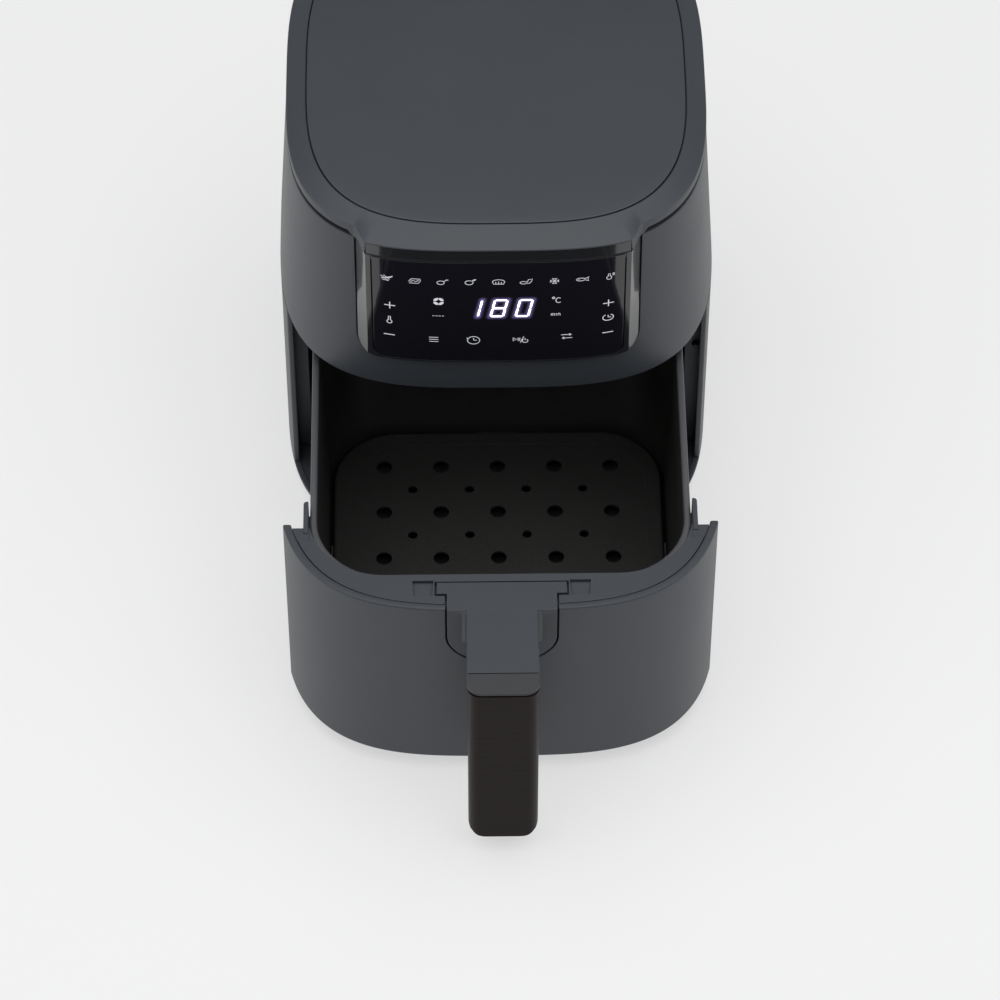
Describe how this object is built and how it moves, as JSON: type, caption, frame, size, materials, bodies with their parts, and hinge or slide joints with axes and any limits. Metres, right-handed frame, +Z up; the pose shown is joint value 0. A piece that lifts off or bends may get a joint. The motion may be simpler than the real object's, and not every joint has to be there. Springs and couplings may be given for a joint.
{
  "type": "air fryer",
  "caption": "Drawer air fryer, drawer pulled out: coated basket with crisper plate, T-shaped handle, curved touch panel, fan, heating coil.",
  "frame": {"origin": "middle of the footprint of the whole object with its drawer pulled out, on the surface it stands on", "axes": "+X to the right seen from the front, +Y to the back, +Z up; the drawer and handle are at -Y"},
  "size_m": [0.2698, 0.5282, 0.294],
  "materials": {
    "shell_plastic": "fine matte texture, anthracite",
    "gloss_frame": "high gloss black",
    "control_black": "gloss black overlay with lit symbols",
    "grip_brown": "fine brushed, dark brown",
    "nonstick": "dark non-stick coating",
    "steel": "satin",
    "aluminium": "satin",
    "rubber": "matte",
    "black_plastic": "matte black",
    "circuit_board": "green lacquer"
  },
  "bodies": {
    "housing": {"base_tray": "shell_plastic", "foot_front_left": "rubber", "foot_front_right": "rubber", "foot_rear_left": "rubber", "foot_rear_right": "rubber", "base_screw_front_left": "steel", "base_screw_front_right": "steel", "base_screw_rear_left": "steel", "base_screw_rear_right": "steel", "lower_housing": "shell_plastic", "upper_shell": "shell_plastic", "panel_frame": "gloss_frame", "control_overlay": "control_black", "display_module": "black_plastic", "control_board": "circuit_board", "lid": "shell_plastic", "lid_plate": "shell_plastic", "bay_liner": "steel", "heating_chamber": "aluminium", "heating_element": "steel", "element_clip_1": "steel", "element_clip_2": "steel", "element_clip_3": "steel", "element_guard": "steel", "insulation_plate": "aluminium", "fan_motor": "steel", "motor_bracket": "steel", "temperature_sensor": "steel", "thermal_fuse": "steel", "power_board": "circuit_board", "drawer_switch": "black_plastic", "exhaust_grille": "black_plastic", "exhaust_duct": "aluminium", "rear_spacer": "shell_plastic", "cord_gland": "black_plastic"},
    "fan_rotor": {"hot_air_fan": "aluminium", "cooling_fan": "black_plastic", "motor_shaft": "steel"},
    "plunger": {"switch_plunger": "black_plastic"},
    "drawer": {"drawer_front": "shell_plastic", "drawer_ledge": "shell_plastic", "basket": "nonstick", "handle_bracket": "shell_plastic", "handle_cap": "shell_plastic", "handle_grip": "grip_brown", "handle_spine": "shell_plastic", "handle_screw_left": "steel", "handle_screw_right": "steel"},
    "crisper": {"crisper_plate": "nonstick", "bumper_left": "rubber", "bumper_right": "rubber", "bumper_front": "rubber", "bumper_back": "rubber"}
  },
  "joints": [
    {"name": "drawer_slide", "type": "slide", "parent": "housing", "child": "drawer", "axis": [0, -1, 0], "range_m": [-0.17, 0.11]},
    {"name": "crisper_lift", "type": "slide", "parent": "drawer", "child": "crisper", "axis": [0, 0, 1], "range_m": [0, 0.125]},
    {"name": "fan_spin", "type": "hinge", "parent": "housing", "child": "fan_rotor", "pos_m": [0, 0.1091, 0.2], "axis": [0, 0, 1], "continuous": true},
    {"name": "switch_press", "type": "slide", "parent": "housing", "child": "plunger", "axis": [0, 1, 0], "range_m": [0, 0.0025], "stiffness_N_per_m": 200, "springref_m": -0.001}
  ]
}
